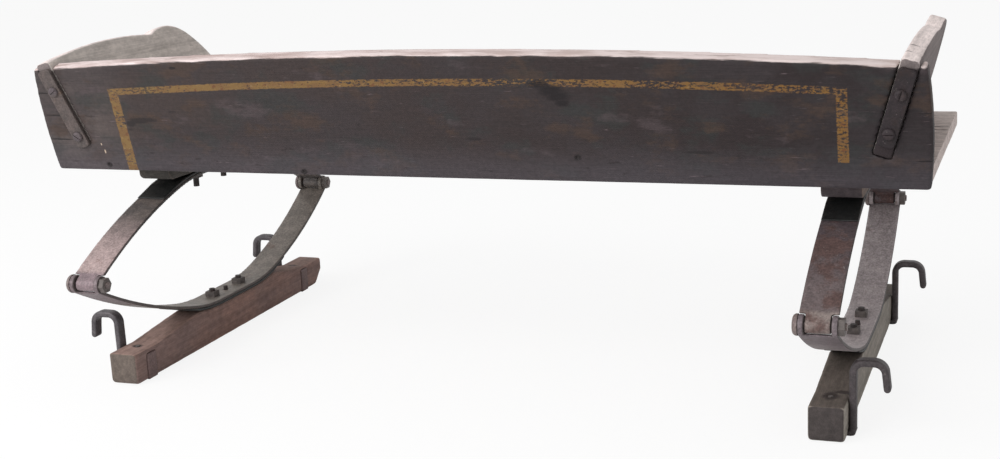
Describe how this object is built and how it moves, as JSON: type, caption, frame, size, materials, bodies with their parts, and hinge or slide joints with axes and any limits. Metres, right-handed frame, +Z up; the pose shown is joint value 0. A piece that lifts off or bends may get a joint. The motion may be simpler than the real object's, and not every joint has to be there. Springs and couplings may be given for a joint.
{
  "type": "wagon seat bench",
  "caption": "Sprung wagon seat bench: raked backboard and splayed side panels on a plank seat, full elliptic leaf springs with bolted eyes, and wooden runners with hook irons.",
  "frame": {"origin": "on the floor, midway between the two runners and midway between the rear and front spring eyes", "axes": "+X to the sitter's right, along the bench; +Y the way the sitter faces; +Z up"},
  "size_m": [1.0852, 0.619, 0.4257],
  "materials": {
    "board_paint": "worn dark painted board with a faded ochre stripe",
    "panel_paint": "worn grey-brown painted board",
    "bare_wood": "bare weathered wood",
    "runner_wood": "weathered brown hardwood",
    "spring_iron": "forged, with thin rust",
    "helper_iron": "forged, near black",
    "hook_iron": "forged, dark grey",
    "strap_iron": "flat bar, worn paint",
    "bolt_iron": "dull, rusted in the corners"
  },
  "bodies": {
    "runners": {"lower_leaf_left": "spring_iron", "lower_helper_leaf_left": "helper_iron", "runner_left": "runner_wood", "hook_rear_left": "hook_iron", "hook_front_left": "hook_iron", "lower_leaf_right": "spring_iron", "lower_helper_leaf_right": "helper_iron", "runner_right": "runner_wood", "hook_rear_right": "hook_iron", "hook_front_right": "hook_iron", "lower_clamp_bolts": "bolt_iron", "lower_clamp_nuts": "bolt_iron", "lower_centre_bolts": "bolt_iron", "hook_rivets": "bolt_iron"},
    "spring_ends": {"eye_bolt_rear_left": "bolt_iron", "eye_bolt_rear_right": "bolt_iron", "eye_bolt_front_left": "bolt_iron", "eye_bolt_front_right": "bolt_iron", "eye_nuts": "bolt_iron"},
    "seat": {"seat_plank_front": "bare_wood", "seat_plank_rear": "bare_wood", "backboard": "board_paint", "side_panel_left": "panel_paint", "side_panel_right": "panel_paint", "strap_left": "strap_iron", "strap_right": "strap_iron", "strap_screws": "bolt_iron", "cleat_left": "runner_wood", "cleat_right": "runner_wood", "upper_leaf_left": "spring_iron", "upper_helper_leaf_left": "helper_iron", "upper_leaf_right": "spring_iron", "upper_helper_leaf_right": "helper_iron", "upper_clamp_bolts": "bolt_iron", "upper_clamp_nuts": "bolt_iron", "upper_centre_bolts": "bolt_iron"}
  },
  "joints": [
    {"name": "spring_lower", "type": "slide", "parent": "runners", "child": "spring_ends", "axis": [0, 0, 1], "range_m": [-0.0325, 0.005], "stiffness_N_per_m": 50000, "springref_m": 0.0024, "deforming": ["lower_leaf_left", "lower_helper_leaf_left", "lower_leaf_right", "lower_helper_leaf_right"]},
    {"name": "spring_upper", "type": "slide", "parent": "spring_ends", "child": "seat", "axis": [0, 0, 1], "range_m": [-0.0325, 0.005], "stiffness_N_per_m": 50000, "springref_m": 0.0024, "deforming": ["upper_leaf_left", "upper_helper_leaf_left", "upper_leaf_right", "upper_helper_leaf_right"]}
  ],
  "couplings": [
    {"joint": "spring_lower", "follows": "spring_upper", "ratio": 1}
  ]
}
